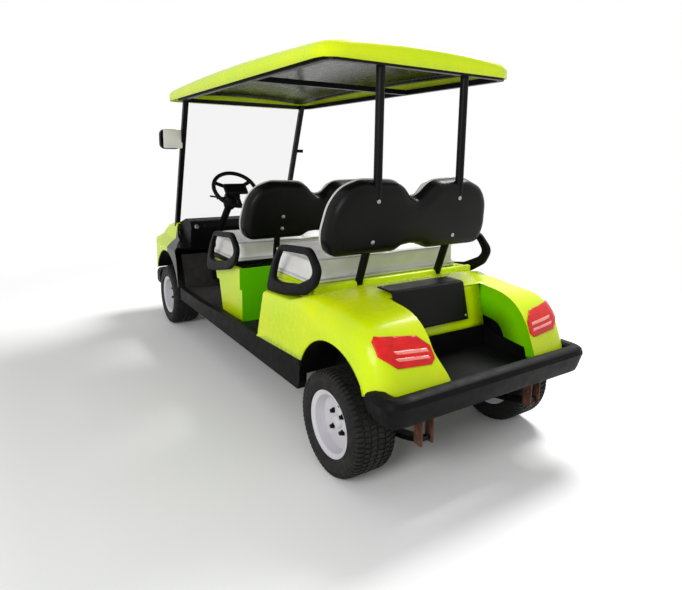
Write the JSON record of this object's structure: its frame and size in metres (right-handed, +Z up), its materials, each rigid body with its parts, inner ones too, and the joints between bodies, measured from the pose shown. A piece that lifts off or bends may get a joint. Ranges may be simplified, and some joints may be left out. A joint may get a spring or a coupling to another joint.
{
  "type": "golf cart",
  "caption": "Golf cart with two forward-facing benches, a canopy on tubular struts, a one-piece windscreen and an open bag well between the rear quarters.",
  "frame": {"origin": "on the ground, midway between the bumpers and between the wheels", "axes": "+Z up, -Y to the front of the cart, +X to the driver's left"},
  "size_m": [1.211, 3.28, 1.8499],
  "materials": {
    "lime_body": "gloss",
    "black_plastic": "satin",
    "black_steel": "satin",
    "bare_steel": "matt",
    "white_steel": "gloss",
    "rubber": "matt",
    "floor_mat": "matt",
    "vinyl": "satin",
    "clear_screen": "gloss",
    "red_lens": "gloss",
    "clear_lens": "gloss",
    "battery_case": "satin"
  },
  "bodies": {
    "cart": {"rear_body": "lime_body", "front_cowl": "lime_body", "front_seat_box": "lime_body", "roof_panel": "lime_body", "rocker_panels": "black_plastic", "rear_access_cover": "black_plastic", "bag_well_liner": "black_plastic", "bumpers": "black_plastic", "dashboard": "black_plastic", "seat_shells": "black_plastic", "armrests": "black_plastic", "wheel_arch_liners": "black_plastic", "steering_column": "black_plastic", "mirrors": "black_plastic", "chassis_frame": "black_steel", "roof_rails": "black_steel", "canopy_posts": "black_steel", "front_seat_brackets": "black_steel", "rear_axle": "black_steel", "front_axle": "black_steel", "leaf_springs": "black_steel", "pedals": "black_steel", "motor": "black_steel", "rear_shackles": "bare_steel", "floor_pan": "floor_mat", "seat_backs": "vinyl", "windscreen": "clear_screen", "tail_lamps": "red_lens", "headlamps": "clear_lens", "battery_pack": "battery_case"},
    "wheel_front_left": {"tyre_front_left": "rubber", "rim_front_left": "white_steel"},
    "wheel_front_right": {"tyre_front_right": "rubber", "rim_front_right": "white_steel"},
    "wheel_rear_left": {"tyre_rear_left": "rubber", "rim_rear_left": "white_steel"},
    "wheel_rear_right": {"tyre_rear_right": "rubber", "rim_rear_right": "white_steel"},
    "knuckle_left_body": {"knuckle_left": "black_steel"},
    "knuckle_right_body": {"knuckle_right": "black_steel"},
    "steering_wheel_body": {"steering_wheel": "black_plastic"},
    "steering_rack": {"tie_rods": "black_steel"},
    "front_seat_lid": {"front_seat_cushion": "vinyl", "front_seat_tray": "black_plastic"},
    "rear_seat_lid": {"rear_seat_cushion": "vinyl", "rear_seat_tray": "black_plastic"}
  },
  "joints": [
    {"name": "steer_left", "type": "hinge", "parent": "cart", "child": "knuckle_left_body", "pos_m": [0.4, -1.24, 0.229], "axis": [0, 0, 1], "range_deg": [-28, 28]},
    {"name": "steer_right", "type": "hinge", "parent": "cart", "child": "knuckle_right_body", "pos_m": [-0.4, -1.24, 0.229], "axis": [0, 0, 1], "range_deg": [-28, 28]},
    {"name": "rack_slide", "type": "slide", "parent": "cart", "child": "steering_rack", "axis": [1, 0, 0], "range_m": [-0.058, 0.058]},
    {"name": "steering_wheel_turn", "type": "hinge", "parent": "cart", "child": "steering_wheel_body", "pos_m": [0.24, -0.61, 1.097], "axis": [0, 0.7071, 0.7071], "range_deg": [-450, 450]},
    {"name": "spin_front_left", "type": "hinge", "parent": "knuckle_left_body", "child": "wheel_front_left", "pos_m": [0, -1.24, 0.229], "axis": [1, 0, 0], "continuous": true},
    {"name": "spin_front_right", "type": "hinge", "parent": "knuckle_right_body", "child": "wheel_front_right", "pos_m": [0, -1.24, 0.229], "axis": [1, 0, 0], "continuous": true},
    {"name": "spin_rear_left", "type": "hinge", "parent": "cart", "child": "wheel_rear_left", "pos_m": [0, 1.21, 0.229], "axis": [1, 0, 0], "continuous": true},
    {"name": "spin_rear_right", "type": "hinge", "parent": "cart", "child": "wheel_rear_right", "pos_m": [0, 1.21, 0.229], "axis": [1, 0, 0], "continuous": true},
    {"name": "front_seat_tilt", "type": "hinge", "parent": "cart", "child": "front_seat_lid", "pos_m": [0, -0.3575, 0.672], "axis": [1, 0, 0], "range_deg": [0, 60]},
    {"name": "rear_seat_tilt", "type": "hinge", "parent": "cart", "child": "rear_seat_lid", "pos_m": [0, 0.5475, 0.724], "axis": [1, 0, 0], "range_deg": [0, 60]}
  ],
  "couplings": [
    {"joint": "steer_right", "follows": "steer_left", "ratio": 1},
    {"joint": "rack_slide", "follows": "steer_left", "m_per_rad": -0.115},
    {"joint": "steering_wheel_turn", "follows": "steer_left", "ratio": 16}
  ]
}
